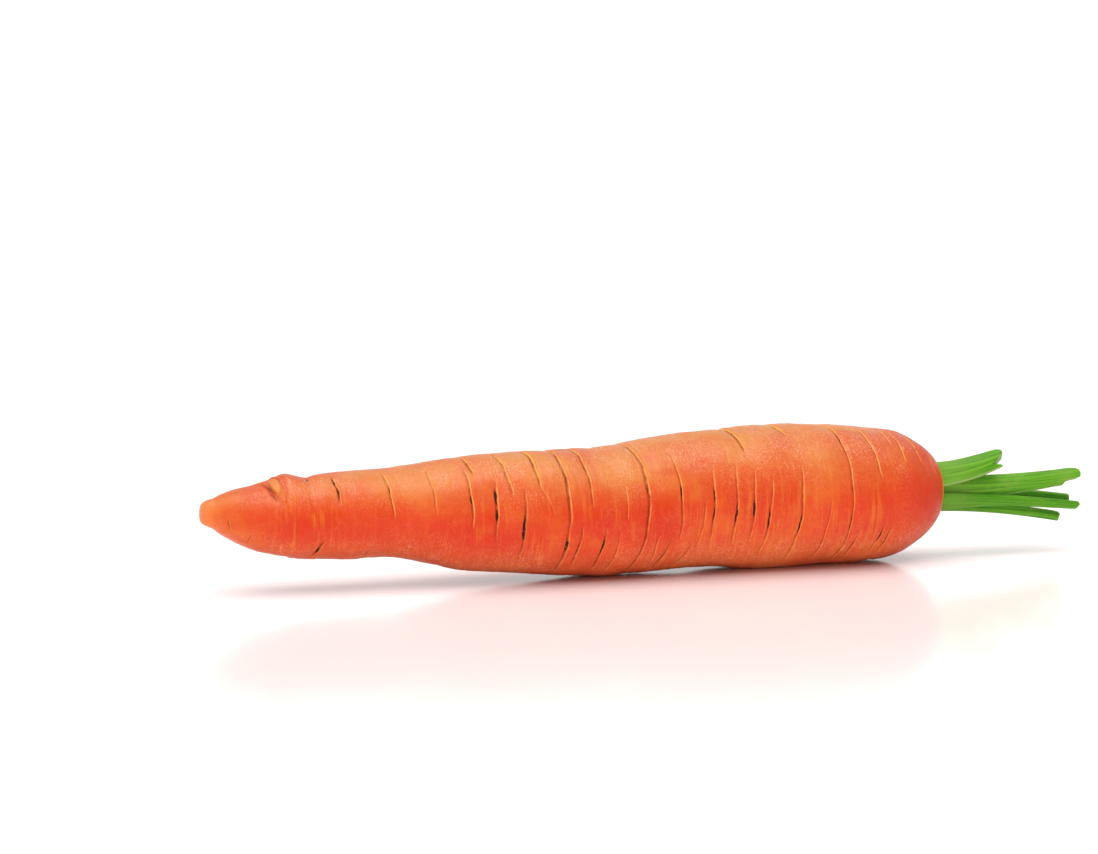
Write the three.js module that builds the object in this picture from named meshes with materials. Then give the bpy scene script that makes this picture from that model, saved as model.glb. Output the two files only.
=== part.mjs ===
// A full-size table carrot lying on its side: the taproot in one piece, and the stumps of its leaf stalks
// standing out of the crown. Millimetres, +Z up, +X from the tip to the crown, resting on the plane Z = 0.
import * as THREE from "three";

// Driving dimensions.
const ROOT_LENGTH = 191.2; // from the blunt tip to the rim of the crown
const ROOT_GIRTH = 36.6; // across its thickest place
const DIP_DEPTH = 1.4; // how far the crown's middle lies below its rim
const GAP = 0.3; // between the crown and the foot of each leaf stalk
const REST_PRESS = 0.35; // how far the underside is pressed flat where it rests

const ROOT_SIDES = 40;
const RINGS_PER_STATION = 3;
const STALK_SIDES = 20;
const STALK_STEPS = 10;

const ROOT_COLOUR = 0xe8602a;
const STALK_COLOUR = 0x74b83c;

// The root's shape at chosen places along it. Each row gives the distance from the tip as a share of the
// length, the radius as a share of half the girth, the height of the underside above the resting plane and
// the sideways drift of the middle line, both in millimetres.
const STATIONS = [
  [0.0, 0.135, 17.4, 1.6],
  [0.009, 0.175, 16.7, 1.6],
  [0.024, 0.25, 14.8, 1.5],
  [0.062, 0.425, 10.9, 1.3],
  [0.109, 0.54, 8.1, 1.0],
  [0.166, 0.57, 7.4, 0.6],
  [0.244, 0.605, 7.0, 0.1],
  [0.321, 0.743, 3.6, -0.3],
  [0.415, 0.838, 1.5, -0.5],
  [0.528, 0.892, -REST_PRESS, -0.4],
  [0.637, 0.931, 0.7, 0.0],
  [0.751, 0.995, -REST_PRESS, 0.3],
  [0.829, 0.99, -REST_PRESS, 0.4],
  [0.891, 0.96, -REST_PRESS, 0.3],
  [0.943, 0.878, 1.25, 0.1],
  [0.979, 0.682, 4.8, 0.0],
  [0.996, 0.532, 7.7, 0.0],
  [1.0, 0.477, 8.75, 0.0],
];

const CROWN_HEIGHT = 17.6; // of the crown's middle above the resting plane
const DIP_RADIUS = 7.9;
const DIP_FLOOR = ROOT_LENGTH - DIP_DEPTH;

// The leaf stalks. foot and end are places across the crown (towards +Y, towards +Z) measured from its
// middle; length runs out from the crown. broad and thick give the section at the foot and at the cut end.
// facing is the way the rounded outer side looks, in degrees from +Y towards +Z. slant leans the cut.
const STALKS = [
  { name: "stalk_upper_front", foot: [-2.6, 5.1], end: [-3.4, 7.8], length: 19.5,
    broad: [7.0, 4.6], thick: [3.0, 2.8], facing: 132, slant: -0.3 },
  { name: "stalk_middle", foot: [-0.6, 0.9], end: [-0.4, 1.7], length: 44.2,
    broad: [5.0, 4.2], thick: [3.0, 3.4], facing: 160, slant: -0.2 },
  { name: "stalk_lower_front", foot: [-3.3, -2.2], end: [-2.0, -5.6], length: 43.4,
    broad: [4.9, 2.1], thick: [2.3, 1.9], facing: 195, slant: 0.2 },
  { name: "stalk_lower_back", foot: [3.0, -1.6], end: [1.1, -5.3], length: 43.4,
    broad: [4.2, 3.2], thick: [2.5, 2.4], facing: 20, slant: 0.1 },
  { name: "stalk_bottom", foot: [0.6, -4.0], end: [-0.8, -8.2], length: 38.7,
    broad: [3.8, 3.4], thick: [2.2, 2.4], facing: 296, slant: 0.3 },
  { name: "stalk_upper_back", foot: [3.3, 5.2], end: [4.6, 6.0], length: 18,
    broad: [4.8, 3.4], thick: [2.6, 2.4], facing: 57, slant: -0.3 },
  { name: "stalk_back", foot: [5.9, 0.1], end: [8.0, -0.6], length: 34,
    broad: [4.8, 3.2], thick: [2.3, 2.2], facing: 0, slant: 0.3 },
];
const GUTTER_DEPTH = 0.28; // what is left of the inner half's thickness along the gutter's middle
const STALK_SPREAD = 0.4; // the share of its length over which a stalk bends outwards

// A closed tube whose surface is put in place by a function of the way along it and of a point on the unit
// circle.
function tube(sides, steps, place) {
  const geometry = new THREE.CylinderGeometry(1, 1, 1, sides, steps);
  const points = geometry.getAttribute("position");
  for (let i = 0; i < points.count; i++) {
    const along = points.getY(i) + 0.5;
    const spot = place(along, points.getX(i), points.getZ(i));
    points.setXYZ(i, spot.x, spot.y, spot.z);
  }
  geometry.computeVertexNormals();
  return geometry;
}

// The root: round sections strung on a slightly wandering middle line, pressed flat where it rests.
function rootGeometry() {
  const girths = STATIONS.map(([along, share, clearance]) => {
    const radius = (share * ROOT_GIRTH) / 2;
    return new THREE.Vector3(along * ROOT_LENGTH, radius, clearance + radius);
  });
  const drifts = STATIONS.map(([along, , , drift]) => new THREE.Vector3(along * ROOT_LENGTH, drift, 0));
  // The crown turns in at its rim and ends in the flat floor of the dip.
  girths.push(new THREE.Vector3(DIP_FLOOR, DIP_RADIUS, CROWN_HEIGHT));
  drifts.push(new THREE.Vector3(DIP_FLOOR, 0, 0));
  const girthCurve = new THREE.CatmullRomCurve3(girths, false, "centripetal");
  const driftCurve = new THREE.CatmullRomCurve3(drifts, false, "centripetal");
  const steps = (girths.length - 1) * RINGS_PER_STATION;
  return tube(ROOT_SIDES, steps, (along, across, upwards) => {
    const { x: distance, y: radius, z: height } = girthCurve.getPoint(along);
    const drift = driftCurve.getPoint(along).y;
    // The circle is run the other way round so that the faces look outwards along +X.
    return new THREE.Vector3(
      distance,
      drift - across * radius,
      Math.max(0, height + upwards * radius),
    );
  });
}

// A leaf stalk: rounded on its outer side, hollowed along its inner side like a gutter, leaving the crown
// square and bending to its own direction.
function stalkGeometry({ foot, end, length, broad, thick, facing, slant }) {
  const path = new THREE.CubicBezierCurve3(
    new THREE.Vector3(DIP_FLOOR + GAP, foot[0], CROWN_HEIGHT + foot[1]),
    new THREE.Vector3(DIP_FLOOR + GAP + STALK_SPREAD * length, foot[0], CROWN_HEIGHT + foot[1]),
    new THREE.Vector3(
      DIP_FLOOR + (1 - STALK_SPREAD / 2) * length,
      THREE.MathUtils.lerp(foot[0], end[0], 0.7),
      CROWN_HEIGHT + THREE.MathUtils.lerp(foot[1], end[1], 0.7),
    ),
    new THREE.Vector3(DIP_FLOOR + length, end[0], CROWN_HEIGHT + end[1]),
  );
  const angle = THREE.MathUtils.degToRad(facing);
  const outer = new THREE.Vector3(0, Math.cos(angle), Math.sin(angle));
  return tube(STALK_SIDES, STALK_STEPS, (along, across, outwards) => {
    const tangent = path.getTangent(along);
    const out = outer.clone().addScaledVector(tangent, -outer.dot(tangent)).normalize();
    const side = new THREE.Vector3().crossVectors(tangent, out);
    const halfBreadth = THREE.MathUtils.lerp(broad[0], broad[1], Math.sqrt(along)) / 2;
    const halfThickness = THREE.MathUtils.lerp(thick[0], thick[1], along) / 2;
    const gutter = outwards < 0 ? GUTTER_DEPTH + (1 - GUTTER_DEPTH) * across ** 2 : 1;
    const lean = along ** 6 * slant * outwards * gutter * halfThickness;
    return path
      .getPoint(along)
      .addScaledVector(side, across * halfBreadth)
      .addScaledVector(out, outwards * gutter * halfThickness)
      .addScaledVector(tangent, lean);
  });
}

function named(name, geometry, color, roughness) {
  const material = new THREE.MeshStandardMaterial({ color, roughness, metalness: 0 });
  const mesh = new THREE.Mesh(geometry, material);
  mesh.name = name;
  return mesh;
}

const carrot = new THREE.Group();
carrot.add(named("taproot", rootGeometry(), ROOT_COLOUR, 0.45));
for (const stalk of STALKS) {
  carrot.add(named(stalk.name, stalkGeometry(stalk), STALK_COLOUR, 0.5));
}

// The origin is the middle of the carrot's footprint, on the resting plane.
const box = new THREE.Box3().setFromObject(carrot, true);
const middle = box.getCenter(new THREE.Vector3());
carrot.position.set(-middle.x, -middle.y, -box.min.z);

export default carrot;
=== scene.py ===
import math
import random

import bpy
import numpy as np
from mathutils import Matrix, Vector


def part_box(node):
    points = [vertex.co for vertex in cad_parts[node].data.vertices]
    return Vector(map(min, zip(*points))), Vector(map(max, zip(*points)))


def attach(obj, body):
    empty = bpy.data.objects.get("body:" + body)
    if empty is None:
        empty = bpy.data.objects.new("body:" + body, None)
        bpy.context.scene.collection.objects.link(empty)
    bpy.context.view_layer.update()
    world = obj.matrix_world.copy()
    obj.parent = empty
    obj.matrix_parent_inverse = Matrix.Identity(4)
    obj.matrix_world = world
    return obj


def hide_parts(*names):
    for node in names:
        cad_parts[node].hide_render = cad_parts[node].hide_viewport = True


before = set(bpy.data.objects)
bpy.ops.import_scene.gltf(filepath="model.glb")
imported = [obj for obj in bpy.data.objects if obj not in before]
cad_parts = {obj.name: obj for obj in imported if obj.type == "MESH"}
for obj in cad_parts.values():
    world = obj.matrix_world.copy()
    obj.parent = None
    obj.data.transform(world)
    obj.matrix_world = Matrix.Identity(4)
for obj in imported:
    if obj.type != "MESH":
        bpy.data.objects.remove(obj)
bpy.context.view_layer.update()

# A fresh carrot lying on its side. Everything is in metres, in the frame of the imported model: +X from the
# tip to the crown, +Z up, the resting plane at Z = 0. MM turns a size in millimetres into metres.
MM = 0.001
SEED = 20

# The camera's place: how far round and how high it stands, its lens and its distance.
CAMERA_AZIMUTH = math.radians(-19.0)
CAMERA_ELEVATION = math.radians(6.5)
CAMERA_LENS = 100.0
CAMERA_DISTANCE = 0.7625
AIM_POINT = Vector((-5.6, -0.35, 17.0)) * MM  # a point inside the root
AIM_OFFSET = (22.8 * MM, -19.5 * MM)  # how far right of and above the middle of the view it stands

# The studio. The world is white all round, brighter low down and dim towards one side.
WORLD_STRENGTH = 0.75
HORIZON_STRENGTH = 1.15  # low down, which keeps the glossy floor white out to its edge
HORIZON_BAND = (0.12, 0.30)  # the heights between which the one strength turns into the other
DIM_SIDE = Vector((0.70, -0.70, 0.12))  # towards here it is dim, which keeps the skin's colour deep
DIM_SIDE_SHARE = 0.27  # of its full brightness
DIM_SIDE_EDGE = (0.25, 0.75)  # how squarely a direction looks there where the dimming starts and is full
# Two soft keys shine from above, a little towards the camera: one for the floor and one for the carrot.
KEY_HEADING = Vector((0.06, 0.10, -1.0))
FLOOR_KEY_STRENGTH = 3.4
FLOOR_KEY_SPREAD = math.radians(75)  # how large it looks from below
CARROT_KEY_STRENGTH = 2.2
CARROT_KEY_SPREAD = math.radians(48)
# A long low light stands in front of the carrot.
FILL_PLACE = Vector((-0.05, -0.42, 0.03))
FILL_AIM = Vector((0.0, 0.0, 0.012))
FILL_LENGTH = 0.6
FILL_HEIGHT = 0.12
FILL_POWER = 1.6
FLOOR_RADIUS = 30.0
FLOOR_COLOUR = (0.83, 0.735, 0.725)
FLOOR_ROUGHNESS = 0.16

# The root's mesh.
ROOT_SIDES = 28
ROOT_SPACING = 1.0 * MM  # between the rings of its cage
TIP_STEPS = (0.02, 0.3, 0.65)  # the cage's first rings, in millimetres from the tip
TIP_FLAT = 0.6  # how broad the very tip is, as a share of the section just behind it
TIP_ROUNDING = 0.9 * MM  # how far back the tip is rounded
FINER_LEVELS = 2  # how often a cage is subdivided, the root's and a leaf stalk's
# The crown turns in over its rim and down to the floor of its dip: radius and depth below the rim, in
# millimetres.
DIP_RINGS = [(8.3, 0.1), (7.95, 0.5), (7.6, 1.1), (6.6, 1.5), (4.4, 1.3), (2.0, 1.1)]


# ---------------------------------------------------------------- small helpers

def deselect_everything():
    bpy.ops.object.select_all(action="DESELECT")


def select_only(obj):
    deselect_everything()
    obj.select_set(True)
    bpy.context.view_layer.objects.active = obj


def apply_modifiers(obj):
    select_only(obj)
    for modifier in list(obj.modifiers):
        bpy.ops.object.modifier_apply(modifier=modifier.name)


def make_finer(obj):
    subdivision = obj.modifiers.new("Finer", "SUBSURF")
    subdivision.levels = FINER_LEVELS
    subdivision.render_levels = FINER_LEVELS
    apply_modifiers(obj)


def shade_smooth(obj):
    select_only(obj)
    bpy.ops.object.shade_smooth()


def vertex_places(mesh):
    places = np.empty(len(mesh.vertices) * 3)
    mesh.vertices.foreach_get("co", places)
    return places.reshape(-1, 3)


def write_attribute(mesh, name, values):
    layer = mesh.attributes.new(name, "FLOAT", "POINT")
    layer.data.foreach_set("value", np.ascontiguousarray(values, dtype=np.float32))


def smooth_step(low, high, values):
    t = np.clip((values - low) / (high - low), 0.0, 1.0)
    return t * t * (3.0 - 2.0 * t)


def bell(values, width):
    return np.exp(-((values / width) ** 2))


def smooth_curve(xs, ys, x):
    """The value at x of the smooth curve through the points (xs, ys)."""
    slopes = np.gradient(ys, xs)
    i = int(np.clip(np.searchsorted(xs, x) - 1, 0, len(xs) - 2))
    h = xs[i + 1] - xs[i]
    t = min(max((x - xs[i]) / h, 0.0), 1.0)
    return (
        (2 * t**3 - 3 * t**2 + 1) * ys[i]
        + (t**3 - 2 * t**2 + t) * h * slopes[i]
        + (3 * t**2 - 2 * t**3) * ys[i + 1]
        + (t**3 - t**2) * h * slopes[i + 1]
    )


# ---------------------------------------------------------------- the root's plain shape

def root_sections():
    """Place along X, radius, middle Y and middle Z of the frame's rings, from the tip to the crown's rim."""
    rings = {}
    for x, y, z in vertex_places(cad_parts["taproot"].data):
        rings.setdefault(round(x, 5), []).append((y, z))
    rows = []
    for x in sorted(rings):
        ring = np.array(rings[x])
        radius = (ring[:, 0].max() - ring[:, 0].min()) / 2
        middle_y = (ring[:, 0].max() + ring[:, 0].min()) / 2
        # The underside may be pressed flat, so the middle's height comes from the top.
        rows.append((x, radius, middle_y, ring[:, 1].max() - radius))
    rim_radius = rows[-1][1]
    near_rim = rows[-1][0] - 2 * MM
    # The floor of the dip lies just inside the rim, and isn't a section of its own.
    outer = [row for row in rows if row[0] < near_rim or row[1] >= rim_radius]
    return np.array(outer).T


SECTION_X, SECTION_RADIUS, SECTION_Y, SECTION_Z = root_sections()
TIP_X = SECTION_X[0]
RIM_X = SECTION_X[-1]


def root_section(x):
    """Radius and middle of the root at x."""
    radius = smooth_curve(SECTION_X, SECTION_RADIUS, x)
    middle = Vector((x, smooth_curve(SECTION_X, SECTION_Y, x), smooth_curve(SECTION_X, SECTION_Z, x)))
    return radius, middle


def root_rings():
    """Radius and middle of every ring of the cage."""
    rings = []
    count = round((RIM_X - TIP_X) / ROOT_SPACING)
    stations = [TIP_X + step * MM for step in TIP_STEPS]
    stations += list(np.linspace(TIP_X + ROOT_SPACING, RIM_X, count))
    for x in stations:
        radius, middle = root_section(x)
        shortfall = max(0.0, 1.0 - (x - TIP_X) / TIP_ROUNDING)
        rings.append((radius * (TIP_FLAT + (1.0 - TIP_FLAT) * math.sqrt(1.0 - shortfall**2)), middle))
    rim_middle = rings[-1][1]
    for radius, depth in DIP_RINGS:
        rings.append((radius * MM, rim_middle - Vector((depth * MM, 0, 0))))
    return rings


def build_root():
    rings = root_rings()
    first_radius, first_middle = rings[0]
    deselect_everything()
    bpy.ops.mesh.primitive_circle_add(
        vertices=ROOT_SIDES,
        radius=first_radius,
        fill_type="NGON",
        location=first_middle,
        rotation=(0, math.pi / 2, 0),
    )
    root = bpy.context.active_object
    root.name = "carrot_root"
    bpy.ops.object.transform_apply(location=True, rotation=True, scale=True)
    bpy.ops.object.mode_set(mode="EDIT")
    bpy.ops.mesh.select_all(action="SELECT")
    bpy.ops.mesh.select_mode(type="FACE")
    for (radius, middle), (next_radius, next_middle) in zip(rings, rings[1:]):
        bpy.ops.mesh.extrude_region_move(TRANSFORM_OT_translate={"value": next_middle - middle})
        growth = next_radius / radius
        bpy.ops.transform.resize(value=(1, growth, growth), center_override=next_middle)
    bpy.ops.mesh.select_all(action="SELECT")
    bpy.ops.mesh.normals_make_consistent(inside=False)
    bpy.ops.object.mode_set(mode="OBJECT")
    make_finer(root)
    return root


# ---------------------------------------------------------------- nodes and shared effects

def add_node(tree, kind, inputs=None, **settings):
    """A node with its settings made and its inputs joined to sockets or set to values."""
    made = tree.nodes.new(kind)
    for name, value in settings.items():
        setattr(made, name, value)
    for socket, value in (inputs or {}).items():
        if isinstance(value, bpy.types.NodeSocket):
            tree.links.new(value, made.inputs[socket])
        else:
            made.inputs[socket].default_value = value
    return made


def mix_colour(tree, factor, first, second):
    made = add_node(tree, "ShaderNodeMix", data_type="RGBA")
    for index, value in ((0, factor), (6, first), (7, second)):
        if isinstance(value, bpy.types.NodeSocket):
            tree.links.new(value, made.inputs[index])
        elif index == 0:
            made.inputs[index].default_value = value
        else:
            made.inputs[index].default_value = (*value, 1.0)
    return made.outputs[2]


def maths(tree, operation, first, second=0.0, clamp=False):
    made = add_node(tree, "ShaderNodeMath", {0: first, 1: second}, operation=operation, use_clamp=clamp)
    return made.outputs[0]


def plus(tree, first, second):
    return maths(tree, "ADD", first, second)


def times(tree, first, second, clamp=False):
    return maths(tree, "MULTIPLY", first, second, clamp)


def ramp(tree, value, low, high, start=0.0, end=1.0):
    """A smooth change from start to end while the value goes from low to high."""
    sockets = {"Value": value, "From Min": low, "From Max": high, "To Min": start, "To Max": end}
    return add_node(tree, "ShaderNodeMapRange", sockets, interpolation_type="SMOOTHSTEP").outputs["Result"]


def relief(tree, shader, strength, heights):
    """Bumps a shader's surface by patterns, each with its height in millimetres, added up."""
    total = None
    for pattern, height in heights:
        raised = times(tree, pattern, height * MM)
        total = raised if total is None else plus(tree, total, raised)
    bump = add_node(tree, "ShaderNodeBump", {"Height": total, "Distance": 1.0, "Strength": strength})
    tree.links.new(bump.outputs["Normal"], shader.inputs["Normal"])


def attribute(tree, name):
    return add_node(tree, "ShaderNodeAttribute", attribute_name=name).outputs["Fac"]


def place_over_object(tree):
    return add_node(tree, "ShaderNodeTexCoord").outputs["Object"]


def new_group(name, inputs, outputs):
    """An empty shader node group with named sockets; inputs and outputs are (name, kind) pairs."""
    group = bpy.data.node_groups.new(name, "ShaderNodeTree")
    for socket, kind in inputs:
        group.interface.new_socket(name=socket, in_out="INPUT", socket_type=kind)
    for socket, kind in outputs:
        group.interface.new_socket(name=socket, in_out="OUTPUT", socket_type=kind)
    return group, group.nodes.new("NodeGroupInput"), group.nodes.new("NodeGroupOutput")


def strand_noise_group():
    """Soft noise drawn out along one or two directions, as fibres or bands are."""
    group, given, result = new_group(
        "strand noise",
        [("Place", "NodeSocketVector"), ("Fineness", "NodeSocketVector"), ("Detail", "NodeSocketFloat")],
        [("Strands", "NodeSocketFloat")],
    )
    stretched = add_node(
        group,
        "ShaderNodeVectorMath",
        {0: given.outputs["Place"], 1: given.outputs["Fineness"]},
        operation="MULTIPLY",
    )
    noise = add_node(
        group,
        "ShaderNodeTexNoise",
        {"Vector": stretched.outputs[0], "Scale": 1.0, "Detail": given.outputs["Detail"], "Roughness": 0.6},
    )
    group.links.new(noise.outputs["Fac"], result.inputs["Strands"])
    return group


def speckle_group():
    """Fine pale grains, gathered in blooms: where they lie, and how high they stand."""
    group, given, result = new_group(
        "speckle",
        [
            ("Place", "NodeSocketVector"),
            ("Fineness", "NodeSocketFloat"),
            ("Bloom fineness", "NodeSocketFloat"),
        ],
        [("Grains", "NodeSocketFloat"), ("Height", "NodeSocketFloat")],
    )
    place = given.outputs["Place"]
    fine = add_node(
        group,
        "ShaderNodeTexNoise",
        {"Vector": place, "Scale": given.outputs["Fineness"], "Detail": 3.0, "Roughness": 0.65},
    )
    bloom = add_node(
        group,
        "ShaderNodeTexNoise",
        {"Vector": place, "Scale": given.outputs["Bloom fineness"], "Detail": 4.0},
    )
    grains = ramp(group, fine.outputs["Fac"], 0.46, 0.68)
    where = ramp(group, bloom.outputs["Fac"], 0.36, 0.64, 0.25, 1.0)
    group.links.new(times(group, grains, where), result.inputs["Grains"])
    group.links.new(fine.outputs["Fac"], result.inputs["Height"])
    return group


STRAND_NOISE = strand_noise_group()
SPECKLE = speckle_group()


def strands(tree, place, fineness, detail):
    """Strand noise; fineness is how many waves there are to a unit of place along X, Y and Z."""
    made = add_node(tree, "ShaderNodeGroup", node_tree=STRAND_NOISE)
    tree.links.new(place, made.inputs["Place"])
    made.inputs["Fineness"].default_value = fineness
    made.inputs["Detail"].default_value = detail
    return made.outputs["Strands"]


def speckle(tree, place, fineness, bloom_fineness):
    """Grains and their height; both finenesses are in waves to a metre."""
    made = add_node(tree, "ShaderNodeGroup", node_tree=SPECKLE)
    tree.links.new(place, made.inputs["Place"])
    made.inputs["Fineness"].default_value = fineness
    made.inputs["Bloom fineness"].default_value = bloom_fineness
    return made.outputs["Grains"], made.outputs["Height"]


def new_material(name):
    material = bpy.data.materials.new(name)
    material.use_nodes = True
    return material, material.node_tree, material.node_tree.nodes["Principled BSDF"]


# ---------------------------------------------------------------- the root's skin

DEEP_ORANGE = (0.54, 0.025, 0.003)
ORANGE = (0.585, 0.044, 0.006)
WARM_PATCH = (0.64, 0.140, 0.015)
PAINTED_LIGHT_GOLD = (0.60, 0.215, 0.040)  # painted light: the upper side lighter and yellower as if lit from above, and the underside a little as if lit by the floor
TIP_YELLOW = (0.74, 0.20, 0.045)
# pale grain, heavier on the upper side and the underside as painted sheen
PALE_GRAIN_AND_SHEEN = (0.80, 0.37, 0.24)
GOLD = (0.95, 0.42, 0.085)
DARK_RED = (0.22, 0.014, 0.005)
SCAR_BROWN = (0.034, 0.007, 0.004)
STUB_OCHRE = (0.58, 0.23, 0.035)
RIM_YELLOW = (0.72, 0.36, 0.045)
CROWN_GREEN = (0.42, 0.40, 0.05)
CROWN_BROWN = (0.20, 0.11, 0.03)
# Where the colour changes along the root, in millimetres.
YELLOW_TIP = (5, 0.5)  # from the tip: where the yellow starts and is full
TOP_LIGHT_START = (12, 55)  # from the tip: where the painted top light and sheen start and are full
SHOULDER = (24, 3)  # back from the rim: where the shoulder's deeper red, painted shade, starts and is full


def make_root_skin():
    material, tree, shader = new_material("carrot_skin")
    place = place_over_object(tree)
    station = add_node(tree, "ShaderNodeSeparateXYZ", {0: place}).outputs["X"]

    # Broad changes of orange, yellower patches, and fine bands that run round the root.
    broad = strands(tree, place, (22.0, 40.0, 40.0), 2.0)
    colour = mix_colour(tree, ramp(tree, broad, 0.35, 0.65), DEEP_ORANGE, ORANGE)
    patches = strands(tree, place, (48.0, 70.0, 70.0), 5.0)
    colour = mix_colour(tree, ramp(tree, patches, 0.50, 0.72, 0.0, 0.5), colour, WARM_PATCH)
    banded = ramp(tree, strands(tree, place, (60.0, 45.0, 45.0), 2.0), 0.40, 0.62, 0.15, 1.0)
    bands = strands(tree, place, (1150.0, 95.0, 95.0), 4.0)
    pale_bands = times(tree, ramp(tree, bands, 0.50, 0.72, 0.0, 0.7), banded)
    colour = mix_colour(tree, pale_bands, colour, WARM_PATCH)
    dark_bands = strands(tree, place, (420.0, 60.0, 60.0), 3.0)
    colour = mix_colour(tree, ramp(tree, dark_bands, 0.55, 0.8, 0.0, 0.4), colour, DEEP_ORANGE)
    mottle = strands(tree, place, (420.0, 380.0, 380.0), 4.0)
    colour = mix_colour(tree, ramp(tree, mottle, 0.50, 0.75, 0.0, 0.3), colour, WARM_PATCH)

    # Painted light: the upper side is made lighter and yellower, broken by patches, as if lit from above, and
    # the underside a little, as if lit by the floor.
    upward = attribute(tree, "upward")
    painted_top_light = ramp(tree, upward, -0.1, 0.95, 0.0, 0.85)
    painted_top_light = times(tree, painted_top_light, ramp(tree, patches, 0.35, 0.65, 0.45, 1.1))
    past_tip = ramp(tree, station, TIP_X + TOP_LIGHT_START[0] * MM, TIP_X + TOP_LIGHT_START[1] * MM, 0.45, 1.0)
    painted_top_light = times(tree, painted_top_light, past_tip)
    colour = mix_colour(tree, painted_top_light, colour, PAINTED_LIGHT_GOLD)
    below = ramp(tree, upward, -0.25, -0.9)
    colour = mix_colour(tree, times(tree, below, 0.22), colour, PAINTED_LIGHT_GOLD)

    # Painted shade: the shoulder round the crown is made a deeper red, where it turns from the light. It lies
    # under more of the pale grain, which lies all over and gathers as painted sheen on the upper side and
    # underside.
    shoulder = ramp(tree, station, RIM_X - SHOULDER[0] * MM, RIM_X - SHOULDER[1] * MM)
    # Painted shade: the shoulder is darkened towards the deep orange.
    colour = mix_colour(tree, times(tree, shoulder, 0.78), colour, DEEP_ORANGE)
    # Painted sheen: the grain is heavier on the upper side, where light falls, and on the underside by the
    # shoulder, where the floor is reflected.
    grains, grain_height = speckle(tree, place, 2300.0, 105.0)
    sheen_above = times(tree, ramp(tree, upward, 0.05, 0.9, 0.10, 0.62), past_tip)
    sheen_below = times(tree, below, ramp(tree, shoulder, 0.0, 1.0, 0.42, 1.1))
    grain_and_sheen = plus(tree, sheen_above, sheen_below)
    colour = mix_colour(tree, times(tree, grains, grain_and_sheen), colour, PALE_GRAIN_AND_SHEEN)

    # Short pale strokes run round the root as scuffs, heavier on the upper side and a little on the underside
    # as painted sheen.
    scuffs = ramp(tree, strands(tree, place, (1900.0, 420.0, 420.0), 4.0), 0.52, 0.74)
    stroke_sheen_weight = plus(tree, ramp(tree, upward, 0.1, 0.9, 0.04, 0.50), times(tree, below, 0.35))
    scuffs_and_sheen = times(tree, scuffs, times(tree, stroke_sheen_weight, banded))
    colour = mix_colour(tree, scuffs_and_sheen, colour, PALE_GRAIN_AND_SHEEN)

    # The tip is yellower, and the dip in the crown is green and brown.
    at_tip = ramp(tree, station, TIP_X + YELLOW_TIP[0] * MM, TIP_X + YELLOW_TIP[1] * MM, 0.0, 0.75)
    colour = mix_colour(tree, at_tip, colour, TIP_YELLOW)
    in_dip = attribute(tree, "crown_dip")
    rim = attribute(tree, "crown_rim")
    colour = mix_colour(tree, rim, colour, RIM_YELLOW)
    dip_mottle = ramp(tree, strands(tree, place, (500.0, 500.0, 500.0), 4.0), 0.45, 0.7)
    dip_colour = mix_colour(tree, dip_mottle, CROWN_GREEN, CROWN_BROWN)
    colour = mix_colour(tree, in_dip, colour, dip_colour)

    # Scars: a golden lip on the crown side of a thin dark red line, which turns brown at its cores. The lip
    # is painted brighter towards the upper side, a painted highlight, and the red line is partly painted
    # shade in its furrow.
    offset = attribute(tree, "scar_offset")
    near = attribute(tree, "scar_near")
    core = attribute(tree, "scar_core")
    depth = attribute(tree, "scar_depth")
    wobble = ramp(tree, strands(tree, place, (500.0, 700.0, 700.0), 2.0), 0.3, 0.7, -0.03, 0.03)
    ragged = plus(tree, offset, wobble)
    worn = ramp(tree, strands(tree, place, (200.0, 330.0, 330.0), 3.0), 0.34, 0.58, 0.4, 1.0)
    gold_lip_and_highlight = times(tree, ramp(tree, ragged, 0.0, 0.14), ramp(tree, ragged, 0.42, 0.20))
    gold_lip_and_highlight = times(tree, gold_lip_and_highlight, times(tree, near, worn))
    # Painted highlight: the golden lip is brighter towards the upper side.
    gold_lip_and_highlight = times(tree, gold_lip_and_highlight, ramp(tree, upward, -0.3, 0.6, 0.5, 1.0))
    gold_lip_and_highlight = times(tree, gold_lip_and_highlight, attribute(tree, "scar_gold"), clamp=True)
    colour = mix_colour(tree, gold_lip_and_highlight, colour, GOLD)
    from_line = maths(tree, "ABSOLUTE", plus(tree, ragged, 0.06))
    torn = ramp(tree, strands(tree, place, (900.0, 420.0, 420.0), 3.0), 0.36, 0.62, 0.45, 1.1)
    # The thin red line is the scar's own red and painted shade in its furrow: it darkens with the furrow's
    # depth.
    red_line_and_shade = times(tree, ramp(tree, from_line, 0.24, 0.06), times(tree, near, torn))
    red_and_furrow_shade = times(tree, red_line_and_shade, depth, clamp=True)
    colour = mix_colour(tree, times(tree, red_and_furrow_shade, 0.75), colour, DARK_RED)
    core_width = times(tree, ramp(tree, core, 0.15, 1.0, 0.0, 0.17), torn)
    slit = ramp(tree, maths(tree, "SUBTRACT", core_width, from_line), -0.07, 0.06)
    slit = times(tree, slit, near)
    brown_here = times(tree, slit, ramp(tree, core, 0.25, 0.65))
    colour = mix_colour(tree, brown_here, colour, SCAR_BROWN)
    islands = ramp(tree, strands(tree, place, (1500.0, 1100.0, 1100.0), 2.0), 0.62, 0.70, 0.0, 0.5)
    colour = mix_colour(tree, times(tree, islands, brown_here), colour, GOLD)

    # The stub of the side root is dry and ochre.
    stub_mottle = ramp(tree, strands(tree, place, (900.0, 300.0, 300.0), 3.0), 0.35, 0.75, 0.55, 1.0)
    stub_here = times(tree, attribute(tree, "stub_eye"), stub_mottle)
    colour = mix_colour(tree, stub_here, colour, STUB_OCHRE)
    tree.links.new(colour, shader.inputs["Base Color"])

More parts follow.
